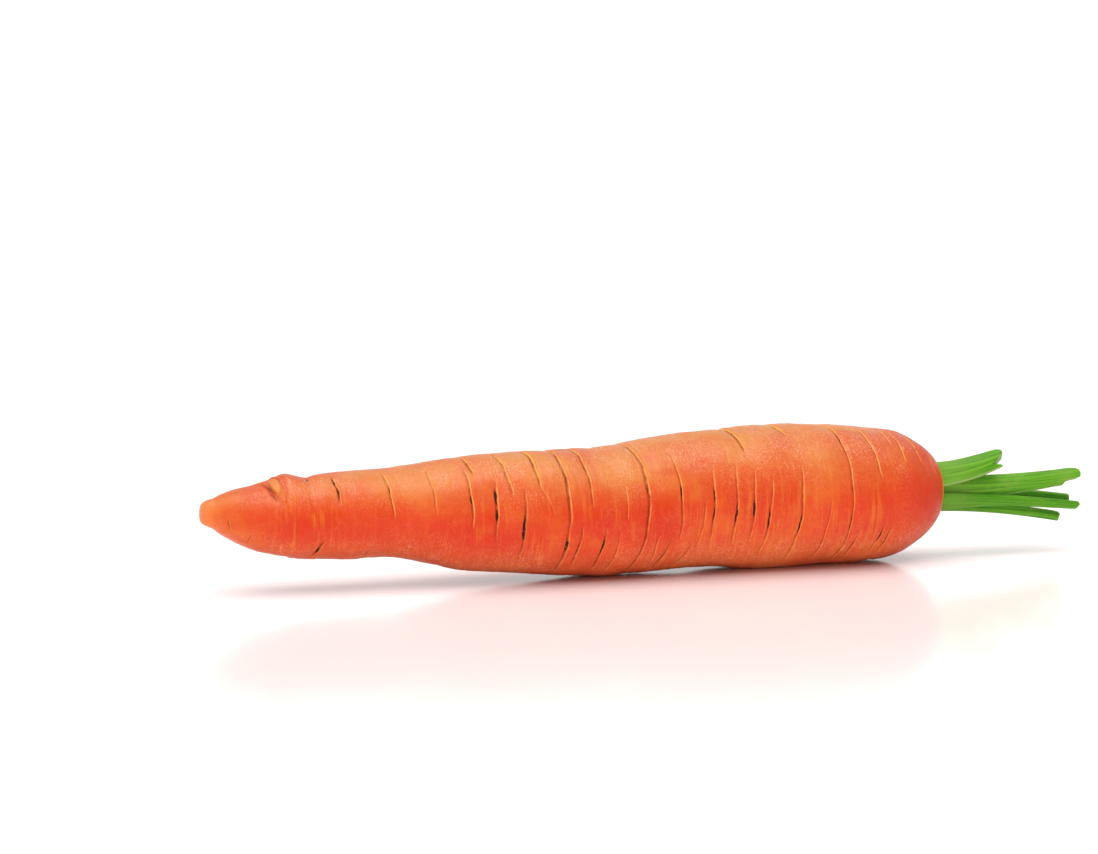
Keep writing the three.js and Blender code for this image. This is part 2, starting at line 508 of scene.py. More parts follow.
    # Dry places are rough and have no coat. The skin's relief is grains, fine bands and the scars' own slits.
    gloss = ramp(tree, strands(tree, place, (120.0, 160.0, 160.0), 3.0), 0.3, 0.7, 0.34, 0.50)
    dry = maths(tree, "MAXIMUM", maths(tree, "MAXIMUM", gold_lip_and_highlight, brown_here), in_dip)
    roughness = maths(tree, "MAXIMUM", gloss, times(tree, dry, 0.7))
    tree.links.new(roughness, shader.inputs["Roughness"])
    tree.links.new(ramp(tree, dry, 0.0, 0.6, 0.17, 0.0), shader.inputs["Coat Weight"])
    relief(tree, shader, 0.8, [
        (grain_height, 0.14),
        (times(tree, bands, banded), 0.16),
        (mottle, 0.14),
        (dark_bands, 0.10),
        (plus(tree, slit, red_and_furrow_shade), -0.12),
        (gold_lip_and_highlight, 0.05),
    ])
    shader.inputs["Specular IOR Level"].default_value = 0.17
    shader.inputs["Subsurface Weight"].default_value = 0.25
    shader.inputs["Subsurface Radius"].default_value = (1.0, 0.25, 0.1)
    shader.inputs["Subsurface Scale"].default_value = 2.0 * MM
    shader.inputs["Coat Roughness"].default_value = 0.28
    return material


# ---------------------------------------------------------------- the leaf stalks' skin and cut flesh

STALK_DEEP = (0.035, 0.165, 0.009)
STALK_GREEN = (0.112, 0.350, 0.014)
STALK_PALE = (0.200, 0.36, 0.050)
MARGIN_PALE = (0.33, 0.42, 0.15)
FOOT_YELLOW = (0.30, 0.36, 0.05)
CUT_PALE = (0.27, 0.38, 0.11)
CUT_DOT = (0.07, 0.16, 0.03)


def make_stalk_skin():
    material, tree, shader = new_material("stalk_skin")
    place = place_over_object(tree)
    along = attribute(tree, "along")
    around = attribute(tree, "around")
    across = attribute(tree, "across")
    # Fibres run along the stalk, so their place is the way along it and the place in its section.
    fibre_place = add_node(tree, "ShaderNodeCombineXYZ", {"X": along, "Y": around, "Z": across}).outputs[0]
    fibres = strands(tree, fibre_place, (2.2, 7.0, 4.0), 4.0)
    colour = mix_colour(tree, ramp(tree, fibres, 0.38, 0.62), STALK_DEEP, STALK_GREEN)
    pale_fibres = strands(tree, fibre_place, (1.5, 17.0, 9.0), 3.0)
    colour = mix_colour(tree, ramp(tree, pale_fibres, 0.48, 0.72, 0.0, 0.75), colour, STALK_PALE)
    blotches = strands(tree, place, (120.0, 160.0, 160.0), 3.0)
    colour = mix_colour(tree, ramp(tree, blotches, 0.5, 0.75, 0.0, 0.5), colour, STALK_PALE)
    grains, grain_height = speckle(tree, place, 2600.0, 200.0)
    colour = mix_colour(tree, times(tree, grains, 0.2), colour, STALK_PALE)
    # It is paler towards the foot and along its -1 margin, and yellow where it leaves the crown.
    colour = mix_colour(tree, ramp(tree, along, 0.42, 0.08, 0.0, 0.5), colour, STALK_PALE)
    # Painted shade: the stalks that lie low, under the others, are darkened towards the deep green.
    colour = mix_colour(tree, attribute(tree, "painted_shade"), colour, STALK_DEEP)
    colour = mix_colour(tree, ramp(tree, around, -0.97, -1.04, 0.0, 0.6), colour, MARGIN_PALE)
    colour = mix_colour(tree, ramp(tree, along, 0.05, 0.02), colour, FOOT_YELLOW)
    tree.links.new(colour, shader.inputs["Base Color"])
    relief(tree, shader, 0.8, [(fibres, 0.09), (pale_fibres, 0.05), (grain_height, 0.03)])
    tree.links.new(ramp(tree, fibres, 0.3, 0.7, 0.36, 0.52), shader.inputs["Roughness"])
    shader.inputs["Specular IOR Level"].default_value = 0.1
    shader.inputs["Subsurface Weight"].default_value = 0.6
    shader.inputs["Subsurface Radius"].default_value = (0.6, 1.0, 0.15)
    shader.inputs["Subsurface Scale"].default_value = 1.6 * MM
    return material


def make_stalk_flesh():
    material, tree, shader = new_material("stalk_flesh")
    place = place_over_object(tree)
    bundles = add_node(tree, "ShaderNodeTexVoronoi", {"Vector": place, "Scale": 1300.0})
    dots = ramp(tree, bundles.outputs["Distance"], 0.30, 0.16)
    mottle = ramp(tree, strands(tree, place, (900.0, 900.0, 900.0), 3.0), 0.4, 0.7)
    colour = mix_colour(tree, mottle, CUT_PALE, MARGIN_PALE)
    colour = mix_colour(tree, times(tree, dots, 0.7), colour, CUT_DOT)
    tree.links.new(colour, shader.inputs["Base Color"])
    tree.links.new(ramp(tree, mottle, 0.0, 1.0, 0.3, 0.5), shader.inputs["Roughness"])
    relief(tree, shader, 0.7, [(dots, -0.08), (mottle, 0.1)])
    shader.inputs["Subsurface Weight"].default_value = 0.2
    shader.inputs["Subsurface Scale"].default_value = 1.0 * MM
    return material


ROOT_SKIN = make_root_skin()
STALK_SKIN = make_stalk_skin()
STALK_FLESH = make_stalk_flesh()


# ---------------------------------------------------------------- the scars that cross the root

# Each scar is a short split that runs round the root: its station from the tip and, as angles round the
# root, where it starts and ends; how far its line leans and bows along the root; its depth; how golden its
# healed lip is; and its dark cores, each an angle, a half width and how dark it is. Stations and depths are
# in millimetres. Angles are in degrees, 0 at the top and 90 at the side towards -Y.
SCARS = [
    (5.8, 96, 127, 0.2, 0.0, 0.30, 0.8, [(111, 9, 0.6)]),
    (10.5, 120, 146, -0.3, 0.0, 0.25, 0.2, [(134, 8, 0.45)]),
    (15.8, 8, 60, 1.2, 0.0, 0.45, 0.0, [(48, 12, 0.3)]),
    (25.5, 2, 20, 0.1, 0.0, 0.20, 0.1, [(11, 5, 0.7)]),
    (31.6, 12, 66, 0.3, 0.0, 0.50, 0.5, [(26, 8, 1.0), (48, 10, 0.9)]),
    (27.0, 116, 154, -1.2, 0.0, 0.60, 0.5, [(139, 9, 1.0), (126, 5, 0.6)]),
    (38.9, 140, 162, -0.4, 0.0, 0.25, 0.4, [(150, 5, 0.7)]),
    (44.1, 16, 90, 0.4, 0.0, 0.30, 0.8, [(52, 6, 0.7)]),
    (54.4, 24, 86, 0.3, 0.0, 0.20, 0.6, []),
    (64.5, -12, 38, 0.4, 0.0, 0.50, 1.0, []),
    (63.2, 28, 98, 0.1, 0.0, 0.35, 0.8, [(68, 5, 0.9)]),
    (72.8, 0, 68, 0.6, 0.0, 0.35, 0.8, []),
    (69.2, 48, 112, -0.3, 0.2, 0.45, 0.6, [(67, 9, 1.0), (85, 7, 1.0)]),
    (80.4, -12, 62, 0.2, 0.0, 0.50, 1.0, []),
    (82.0, 58, 84, 1.3, 0.0, 0.12, 0.4, []),
    (76.1, 60, 136, -0.5, 0.0, 0.45, 0.4, [(98, 15, 1.0)]),
    (87.5, -14, 156, -0.3, -1.1, 0.50, 0.7, [(52, 9, 0.45), (115, 9, 1.0)]),
    (93.2, -14, 80, 0.4, -0.2, 0.45, 0.7, [(34, 14, 0.45)]),
    (90.0, 94, 146, -0.8, 0.0, 0.30, 0.5, [(118, 10, 0.6)]),
    (96.0, 96, 148, -0.8, 0.0, 0.40, 0.4, [(116, 10, 1.0)]),
    (99.8, 100, 148, -0.8, 0.0, 0.25, 0.6, []),
    (102.1, 58, 92, 0.0, 0.0, 0.12, 0.5, []),
    (107.9, -10, 160, -0.6, -2.9, 0.55, 0.7, [(68, 11, 0.5), (136, 12, 0.5)]),
    (110.2, 108, 148, -0.5, 0.0, 0.25, 0.6, []),
    (113.0, 116, 152, -1.2, 0.0, 0.35, 0.4, [(135, 10, 0.6)]),
    (116.4, 36, 118, 0.3, -0.4, 0.35, 0.6, [(74, 9, 0.9)]),
    (118.9, 120, 152, -1.2, 0.0, 0.30, 0.5, [(137, 7, 0.4)]),
    (122.0, 82, 128, -0.7, 0.0, 0.20, 0.6, []),
    (124.8, 54, 128, -0.4, 0.0, 0.30, 0.6, [(78, 8, 0.8), (95, 9, 0.8)]),
    (130.7, 54, 128, -0.5, 0.0, 0.35, 0.7, [(95, 11, 1.0)]),
    (134.3, -34, 44, 0.6, 0.0, 0.65, 1.0, []),
    (135.3, 60, 126, -0.5, 0.0, 0.30, 0.7, [(92, 8, 1.0)]),
    (139.4, 68, 138, -0.9, 0.0, 0.30, 0.7, [(102, 9, 1.0)]),
    (147.1, -16, 28, 0.6, 0.0, 0.35, 0.9, []),
    (147.9, 60, 148, -1.2, -0.5, 0.35, 0.7, [(108, 10, 0.9)]),
    (155.0, 88, 148, -0.8, 0.0, 0.25, 0.6, [(124, 7, 0.6)]),
    (162.1, -12, 160, -0.2, -2.0, 0.45, 0.8, [(31, 6, 0.9), (107, 8, 1.0)]),
    (163.6, 112, 154, -0.7, 0.0, 0.30, 0.6, [(132, 8, 0.9)]),
    (169.7, 8, 70, 0.8, 0.0, 0.30, 0.8, [(22, 9, 0.5)]),
    (170.6, 106, 140, -1.1, 0.0, 0.35, 0.4, [(122, 8, 0.9)]),
    (172.8, 110, 144, -1.2, 0.0, 0.30, 0.5, [(128, 8, 0.8)]),
    (175.2, 6, 38, 0.4, 0.0, 0.20, 0.6, []),
    (177.8, 10, 56, 0.4, 0.0, 0.20, 0.7, [(34, 5, 0.4)]),
    (182.7, 10, 54, 0.7, 0.0, 0.20, 0.8, []),
    (187.7, 34, 64, 0.6, 0.0, 0.15, 0.8, []),
]
BACK_SCARS = 46  # scars strewn over the far side
BACK_START = 8.0  # the station from which they are strewn
BACK_LENGTH = 180.0
BACK_SIDE = (205, 330)  # the angles their middles lie between
WRINKLES = 190  # faint uncoloured creases all over
SCAR_REACH = 3.0  # how far from its line a scar counts, in millimetres
SCAR_FADE = (1.4, 0.5)  # how far from its line its colour starts and is full
SCAR_ENDS = (0.92, 1.1)  # as shares of half its length: where it fades out
MIDDLE_STEPS = 400  # how finely the root's middle line is looked up
# How wide the furrow, its lip, the waist and a crease are, and how far beside the furrow the lip stands, in
# millimetres.
FURROW_WIDTH = 0.35
LIP_WIDTH = 0.9
LIP_OFFSET = 0.95
WAIST_WIDTH = 2.4
WRINKLE_WIDTH = 0.45


def back_scars(draw):
    """Scars for the side away from -Y, spaced along the root like those of the near side."""
    scars = []
    for number in range(BACK_SCARS):
        station = BACK_START + BACK_LENGTH * (number + draw.uniform(0.1, 0.9)) / BACK_SCARS
        middle = draw.uniform(*BACK_SIDE)
        half = draw.uniform(10, 30) if draw.random() < 0.6 else draw.uniform(30, 52)
        depth = draw.uniform(0.15, 0.45)
        gold = draw.uniform(0.3, 0.9)
        cores = []
        if draw.random() < 0.55:
            core_at = middle + draw.uniform(-0.4, 0.4) * half
            cores.append((core_at, draw.uniform(5, 10), draw.uniform(0.5, 1.0)))
        lean = draw.uniform(-0.6, 0.6)
        bow = draw.uniform(-0.6, 0.2)
        scars.append((station, middle - half, middle + half, lean, bow, depth, gold, cores))
    return scars


def wrinkles(draw):
    """Short shallow creases: station, first and last angle, lean and depth."""
    found = []
    for _ in range(WRINKLES):
        middle = draw.uniform(0, 360)
        half = draw.uniform(8, 34)
        station = draw.uniform(6, 186)
        lean = draw.uniform(-0.8, 0.8)
        depth = draw.uniform(0.03, 0.09)
        found.append((station, middle - half, middle + half, lean, depth))
    return found


def polar_places(obj):
    """Every vertex's station from the tip, angle round the root in degrees and distance from its middle."""
    places = vertex_places(obj.data)
    grid = np.linspace(TIP_X, RIM_X, MIDDLE_STEPS)
    middle_y = np.array([smooth_curve(SECTION_X, SECTION_Y, x) for x in grid])
    middle_z = np.array([smooth_curve(SECTION_X, SECTION_Z, x) for x in grid])
    across = places[:, 1] - np.interp(places[:, 0], grid, middle_y)
    upwards = places[:, 2] - np.interp(places[:, 0], grid, middle_z)
    station = (places[:, 0] - TIP_X) / MM
    return station, np.degrees(np.arctan2(-across, upwards)), np.hypot(across, upwards) / MM


def turned_from(angle, middle):
    """How far each angle is turned from a middle one, the short way round."""
    return (angle - middle + 180.0) % 360.0 - 180.0


def along_scar(angle, first, last):
    """How far each angle is along a scar: -1 at its start, 1 at its end."""
    return turned_from(angle, (first + last) / 2) / ((last - first) / 2)


def wander(angle, middle):
    """How far a scar's line strays along the root as it runs round it, in millimetres."""
    return 0.11 * np.sin(angle * 0.17 + middle) + 0.025 * np.sin(angle * 0.7 + 2.0 * middle)


def scar_fields(station, angle):
    """What the scars do at each vertex: furrow, lip, waist and crease, and what the skin's colour needs."""
    draw = random.Random(SEED)
    names = ("furrow", "lip", "waist", "wrinkle", "offset", "near", "gold", "core", "depth")
    fields = {name: np.zeros(len(station)) for name in names}
    fields["offset"][:] = SCAR_REACH
    closest = np.full(len(station), SCAR_REACH)
    for middle, first, last, lean, bow, depth, gold, cores in SCARS + back_scars(draw):
        t = along_scar(angle, first, last)
        offset = station - (middle + lean * t + bow * t**2 + wander(angle, middle))
        taper = np.sqrt(np.clip(1.0 - t**2, 0.0, 1.0))
        fields["furrow"] += depth * taper * bell(offset, FURROW_WIDTH)
        fields["lip"] += depth * taper * bell(offset - LIP_OFFSET, LIP_WIDTH)
        fields["waist"] += depth * np.clip(1.25 - np.abs(t), 0.0, 0.5) * 2.0 * bell(offset, WAIST_WIDTH)
        distance = np.abs(offset) + SCAR_REACH * smooth_step(*SCAR_ENDS, np.abs(t))
        mine = distance < closest
        closest[mine] = distance[mine]
        fields["offset"][mine] = offset[mine]
        fields["near"][mine] = smooth_step(*SCAR_FADE, distance[mine])
        fields["gold"][mine] = (gold * taper**0.7)[mine]
        fields["depth"][mine] = (depth / 0.5 * taper)[mine]
        core = np.zeros(len(station))
        for core_at, half_width, darkness in cores:
            core = np.maximum(core, darkness * bell(turned_from(angle, core_at), half_width))
        fields["core"][mine] = core[mine]
    for middle, first, last, lean, depth in wrinkles(draw):
        t = along_scar(angle, first, last)
        offset = station - (middle + lean * t)
        fields["wrinkle"] += depth * np.clip(1.0 - t**2, 0.0, 1.0) * bell(offset, WRINKLE_WIDTH)
    return fields


# The stub of a side root near the tip, healed over: where its middle is, how far it reaches along the root
# and round it, and how far it leans. Stations and lengths are in millimetres, angles in degrees.
STUB_STATION = 17.2
STUB_ANGLE = 29.0
STUB_LENGTH = 1.4
STUB_BREADTH = 22.0
STUB_LEAN = 0.45
# The swelling, the flat place and the waist near it lie on the upper side: the station of the middle of each,
# and how far it reaches along the root and round it.
STUB_SWELLING = (STUB_STATION + 3.3, 2.4, 36.0)
BEFORE_STUB = (12.0, 4.0, 60.0)
BEHIND_STUB = (26.0, 1.8, 45.0)
TIP_NECK = (3.1, 0.9)  # the slight neck behind the tip runs all the way round
# How high each of the root's shapes stands, and how deep it lies where it is below zero, in millimetres.
ROOT_RELIEF = {
    "furrows": -0.9,
    "lips": 0.5,
    "waists": -0.75,
    "creases": -1.0,
    "neck of the tip": -0.16,
    "stub": 0.95,
    "stub lip": 0.55,
    "stub swelling": 1.0,
    "flat before the stub": -0.75,
    "waist behind the stub": -0.7,
}
# Soft lumps all over: name, size and height in millimetres, and depth of detail.
LUMPS = [("broad lumps", 14, 0.9, 1), ("small lumps", 4, 0.22, 2)]
# The dip and its rim for the colour, in millimetres: how far back from the rim they start and are full, and
# the distances from the root's middle at which the dip starts and is full, and the rim's middle and width.
CROWN_START = (2.5, 1.2)
DIP_EDGE = (9.4, 8.0)
RIM_BAND = (8.9, 0.55)


def upper_side(station, angle, shape):
    """A soft bump on the upper side."""
    middle, length, breadth = shape
    return bell(station - middle, length) * bell(angle, breadth)


def stub_fields(station, angle):
    """The stub's rounded eye, and the lip that closes round its crown side."""
    turned = (angle - STUB_ANGLE) / STUB_BREADTH
    leaned = station - STUB_STATION - STUB_LEAN * turned
    reach = np.hypot(leaned / STUB_LENGTH, turned)
    eye = smooth_step(1.1, 0.6, reach)
    lip = bell(np.abs(reach - 1.3), 0.24) * smooth_step(-0.2, 0.6, leaned / STUB_LENGTH)
    return eye, lip


def press_in(obj, name, weights, strength):
    """Moves the surface along its normals, by the weight times the strength in metres."""
    group = obj.vertex_groups.new(name=name)
    highest = float(weights.max())
    for index in np.nonzero(weights > 0.001 * highest)[0]:
        group.add([int(index)], float(weights[index] / highest), "REPLACE")
    displace = obj.modifiers.new(name, "DISPLACE")
    displace.direction = "NORMAL"
    displace.mid_level = 0.0
    displace.strength = strength * highest
    displace.vertex_group = name


def roughen(obj, name, size, strength, depth):
    """Moves the surface along its normals by soft procedural lumps of one size."""
    clouds = bpy.data.textures.new(name, "CLOUDS")
    clouds.noise_scale = size
    clouds.noise_depth = depth
    displace = obj.modifiers.new(name, "DISPLACE")
    displace.texture = clouds
    displace.texture_coords = "LOCAL"
    displace.direction = "NORMAL"
    displace.mid_level = 0.5
    displace.strength = strength


def flatten_underside(obj):
    """Whatever would reach below the resting plane is pressed flat against it."""
    select_only(obj)
    bpy.ops.object.mode_set(mode="EDIT")
    bpy.ops.mesh.select_mode(type="VERT")
    bpy.ops.mesh.select_all(action="DESELECT")
    bpy.ops.object.mode_set(mode="OBJECT")
    below = vertex_places(obj.data)[:, 2] < 0.0
    obj.data.vertices.foreach_set("select", below)
    bpy.ops.object.mode_set(mode="EDIT")
    bpy.ops.transform.resize(value=(1, 1, 0), center_override=(0, 0, 0))
    bpy.ops.object.mode_set(mode="OBJECT")


def carve_root(obj):
    """Raises and presses in the root's shapes, and writes the attributes that its skin reads."""
    station, angle, distance = polar_places(obj)
    fields = scar_fields(station, angle)
    eye, stub_lip = stub_fields(station, angle)
    rim_station = (RIM_X - TIP_X) / MM
    at_crown = smooth_step(rim_station - CROWN_START[0], rim_station - CROWN_START[1], station)
    relief_shapes = {
        "furrows": fields["furrow"],
        "lips": fields["lip"],
        "waists": fields["waist"],
        "creases": fields["wrinkle"],
        "neck of the tip": bell(station - TIP_NECK[0], TIP_NECK[1]),
        "stub": eye,
        "stub lip": stub_lip,
        "stub swelling": upper_side(station, angle, STUB_SWELLING),
        "flat before the stub": upper_side(station, angle, BEFORE_STUB),
        "waist behind the stub": upper_side(station, angle, BEHIND_STUB),
    }
    for name, height in ROOT_RELIEF.items():
        press_in(obj, name, relief_shapes[name], height * MM)
    for name, size, height, depth in LUMPS:
        roughen(obj, name, size * MM, height * MM, depth)
    apply_modifiers(obj)
    obj.vertex_groups.clear()
    for name in ("offset", "near", "gold", "core", "depth"):
        write_attribute(obj.data, "scar_" + name, fields[name])
    write_attribute(obj.data, "upward", np.cos(np.radians(angle)))
    write_attribute(obj.data, "stub_eye", eye)
    write_attribute(obj.data, "crown_dip", smooth_step(*DIP_EDGE, distance) * at_crown)
    write_attribute(obj.data, "crown_rim", bell(distance - RIM_BAND[0], RIM_BAND[1]) * at_crown)
    flatten_underside(obj)
    shade_smooth(obj)
    obj.data.materials.append(ROOT_SKIN)


root = build_root()
carve_root(root)


# ---------------------------------------------------------------- leaf stalks

# How each leaf stalk looks: the way its rounded outer side faces, in degrees from +Y towards +Z, and its
# breadth and thickness at the foot and at the cut end. Its place and length come from the frame; lift moves
# its foot, its middle and its end up by a little. The share by which its colour is darkened towards the deep
# green is painted shade, for the stalks that lie low, under the others. Sizes are in millimetres.
STALK_LOOKS = {
    "stalk_upper_front": dict(facing=132, broad=(7.0, 4.6), thick=(3.0, 2.8), lift=(-0.8, -0.4, 0.0)),
    "stalk_middle": dict(facing=160, broad=(5.0, 4.2), thick=(3.0, 3.4), lift=(0.0, -0.9, 0.0)),
    "stalk_lower_front": dict(facing=195, broad=(4.9, 2.1), thick=(2.3, 1.9), painted_shade=0.25),
    "stalk_lower_back": dict(facing=20, broad=(4.2, 3.2), thick=(2.5, 2.4), painted_shade=0.6),
    "stalk_bottom": dict(facing=284, broad=(3.8, 3.0), thick=(2.2, 2.4), painted_shade=0.15, lift=(0.0, 0.3, 0.4)),
    "stalk_upper_back": dict(facing=57, broad=(4.8, 3.4), thick=(2.6, 2.4), lift=(-1.0, -1.0, -0.8)),
    "stalk_back": dict(facing=0, broad=(4.8, 3.2), thick=(2.3, 2.2)),
}
# How each cut end is shaped: places across the stalk, from -1 at one margin to 1 at the other, and how far
# short of the stalk's full length the cut falls there, in millimetres.
STALK_CUTS = {
    "stalk_upper_front": [
        (-1.0, 0.3), (-0.9, 0.9), (-0.76, 3.0), (-0.6, 1.6),
        (-0.1, -0.9), (0.35, -1.1), (0.7, -0.2), (1.0, 1.4),
    ],
    "stalk_middle": [(-1.0, 5.2), (-0.5, 4.5), (-0.42, 0.3), (0.0, 0.0), (0.5, 0.1), (0.8, 0.8), (1.0, 2.0)],
    "stalk_lower_front": [(-1.0, 0.5), (-0.2, 0.2), (0.5, -0.3), (1.0, -0.2)],
    "stalk_lower_back": [(-1.0, 0.6), (0.0, 0.4), (1.0, 0.8)],
    "stalk_bottom": [(-1.0, 1.1), (-0.3, 0.3), (0.5, -0.4), (1.0, 0.2)],
    "stalk_upper_back": [(-1.0, 0.6), (0.0, 0.0), (1.0, 1.2)],
    "stalk_back": [(-1.0, 1.3), (0.2, 0.0), (1.0, 0.8)],
}
CUT_RUN = 11.0 * MM  # the length over which a stalk's rings are drawn back to meet its cut
# Near its foot a stalk spreads into a sheath on its -1 side: how far, over what share of its length, and how
# far its other side draws in. The sheath curls inwards too, by a share of its spread.
STALK_SHEATHS = {
    "stalk_upper_front": (1.4, 2.0, 0.6),
    "stalk_middle": (1.9, 0.95, 0.0),
    "stalk_lower_front": (0.9, 0.5, 0.0),
}
SHEATH_CURL = 0.5
TUCK_SHARE = 0.8  # the share of its length over which the other side draws in
STALK_SIDES = 36
STALK_RINGS = 14
# The inner side of a section is hollowed in narrowing lifts: half the breadth that rises, and by how much,
# as shares of the section's half size.
GUTTER_LIFTS = [(0.9, 0.16), (0.68, 0.24), (0.4, 0.2)]
RIB_SPACING = 3  # every third vertex of a section stands proud, as a rib
RIB_GROWTH = 1.06
CUT_RIM = 0.15 * MM  # the skin's thickness round the cut face
STALK_REACH = 44.0 * MM  # the longest stalk, which the attribute "along" measures all of them by
STALK_SINK = 0.9 * MM  # how far a stalk's foot runs down past the frame's, which stands just off the crown
# A frame stalk's foot is square and its end is slanted: how near its lowest and its highest X their vertices
# lie, and how far the middle of the slanted end lies short of its highest X.
FOOT_SPAN = 0.01 * MM
END_SPAN = 0.9 * MM
END_SHORT = 0.5 * MM
FOOT_PULL = 0.4  # how far a stalk's curve keeps to its direction at the foot, as a share of its length
END_PULL = 0.2  # and at its end
END_TURN = 0.3  # how much of the way sideways from foot to end falls to the pull at its end


def half_size(name, way, share):
    """Half a stalk's breadth or thickness, at a share of the change from its foot to its end."""
    foot, end = (size * MM / 2 for size in STALK_LOOKS[name][way])
    return foot + (end - foot) * share


def end_middle(node, high):
    """The middle of a stalk's foot, or of its cut end."""
    places = np.unique(vertex_places(node.data).round(6), axis=0)
    x = places[:, 0]
    near = x > x.max() - END_SPAN if high else x < x.min() + FOOT_SPAN
    return Vector(places[near].mean(axis=0))


def stalk_path(name):
    """A bezier curve from inside the crown to the middle of the stalk's cut end."""
    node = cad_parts[name]
    lift_foot, lift_midway, lift_end = STALK_LOOKS[name].get("lift", (0.0, 0.0, 0.0))
    foot = end_middle(node, False) + Vector((-STALK_SINK, 0, lift_foot * MM))
    end = end_middle(node, True)
    end.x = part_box(name)[1].x - END_SHORT
    end.z += lift_end * MM
    midway = Vector((0, 0, lift_midway)) * MM
    length = end.x - foot.x
    deselect_everything()
    bpy.ops.curve.primitive_bezier_curve_add(location=(0, 0, 0))
    path = bpy.context.active_object
    path.data.resolution_u = 32
    path.data.twist_mode = "Z_UP"
    start_point, end_point = path.data.splines[0].bezier_points
    for point in (start_point, end_point):
        point.handle_left_type = "FREE"
        point.handle_right_type = "FREE"
    start_point.co = foot
    # It leaves the crown square, and bends to its own direction over the first part of its length.
    start_point.handle_left = foot - Vector((0.3 * length, 0, 0))
    start_point.handle_right = foot + Vector((FOOT_PULL * length, 0, 0)) + midway
    bend = (end - foot) * END_TURN
    bend.x = END_PULL * length
    end_point.co = end
    end_point.handle_left = end - bend + midway
    end_point.handle_right = end + bend
    return path


def build_stalk(name):
    """A straight stalk along X with its gutter, ribs and cut face, and the path it will be bent along."""
    path = stalk_path(name)
    length = path.data.splines[0].calc_length()
    deselect_everything()
    bpy.ops.mesh.primitive_circle_add(
        vertices=STALK_SIDES, radius=1.0, fill_type="NGON", location=(0, 0, 0), rotation=(0, math.pi / 2, 0)
    )
    stalk = bpy.context.active_object
    stalk.name = name.replace("stalk", "leaf_stalk")
    stalk.data.materials.append(STALK_SKIN)
    stalk.data.materials.append(STALK_FLESH)
    bpy.ops.object.transform_apply(location=False, rotation=True, scale=True)
    bpy.ops.object.mode_set(mode="EDIT")
    bpy.ops.mesh.select_mode(type="VERT")
    # The inner side, towards -Z, is hollowed to a gutter.
    for reach, lift in GUTTER_LIFTS:
        bpy.ops.object.mode_set(mode="OBJECT")
        places = vertex_places(stalk.data)
        inner = (places[:, 2] < -0.05) & (np.abs(places[:, 1]) < reach)
        stalk.data.vertices.foreach_set("select", inner)
        bpy.ops.object.mode_set(mode="EDIT")
        bpy.ops.transform.translate(value=(0, 0, lift))
    bpy.ops.object.mode_set(mode="OBJECT")
    ribs = np.arange(len(stalk.data.vertices)) % RIB_SPACING == 0
    stalk.data.vertices.foreach_set("select", ribs)
    bpy.ops.object.mode_set(mode="EDIT")
    bpy.ops.transform.resize(value=(1, RIB_GROWTH, RIB_GROWTH), center_override=(0, 0, 0))
    bpy.ops.mesh.select_all(action="SELECT")
    bpy.ops.mesh.select_mode(type="FACE")
    broad = half_size(name, "broad", 0)
    thick = half_size(name, "thick", 0)
    bpy.ops.transform.resize(value=(1, broad, thick), center_override=(0, 0, 0))
    for ring in range(1, STALK_RINGS + 1):
        along = ring / STALK_RINGS
        step = Vector((length / STALK_RINGS, 0, 0))
        bpy.ops.mesh.extrude_region_move(TRANSFORM_OT_translate={"value": step})
        next_broad = half_size(name, "broad", math.sqrt(along))
        next_thick = half_size(name, "thick", along)
        middle = (along * length, 0, 0)
        bpy.ops.transform.resize(value=(1, next_broad / broad, next_thick / thick), center_override=middle)
        broad, thick = next_broad, next_thick
    bpy.ops.mesh.inset(thickness=CUT_RIM)
    stalk.active_material_index = 1
    bpy.ops.object.material_slot_assign()
    bpy.ops.object.mode_set(mode="OBJECT")
    return stalk, path, length


def paint_stalk(stalk, name, length):
    """Attributes for the skin: the way along, and the way round as two coordinates of its section."""
    places = vertex_places(stalk.data)
    along = places[:, 0] / length
    half_breadth = half_size(name, "broad", np.sqrt(np.clip(along, 0, 1)))
    half_thickness = half_size(name, "thick", along)
    # How far the stalk's colour is darkened as painted shade.
    write_attribute(stalk.data, "painted_shade", np.full(len(along), STALK_LOOKS[name].get("painted_shade", 0.0)))
    write_attribute(stalk.data, "along", places[:, 0] / STALK_REACH)
    write_attribute(stalk.data, "around", places[:, 1] / half_breadth)
    write_attribute(stalk.data, "across", places[:, 2] / half_thickness)


def trim_stalk(stalk, name, length):
    """Draws the last rings back to the shape of the cut, and spreads the sheath at the foot."""
    places = vertex_places(stalk.data)
    along = np.clip(places[:, 0] / length, 0, 1)
    around = np.clip(places[:, 1] / half_size(name, "broad", np.sqrt(along)), -1, 1)
    across, shortfall = np.array(STALK_CUTS[name]).T
    near_end = np.clip((places[:, 0] - (length - CUT_RUN)) / CUT_RUN, 0, 1)
    places[:, 0] -= np.interp(around, across, shortfall) * MM * near_end
    spread, share, tuck = STALK_SHEATHS.get(name, (0.0, 1.0, 0.0))
    wing = np.clip(-around, 0, 1) ** 2 * (1.0 - smooth_step(0.0, share, along))
    places[:, 1] -= spread * MM * wing
    places[:, 2] -= SHEATH_CURL * spread * MM * wing
    places[:, 1] -= tuck * MM * np.clip(around, 0, 1) * (1.0 - smooth_step(0.0, TUCK_SHARE, along))
    stalk.data.vertices.foreach_set("co", places.ravel())


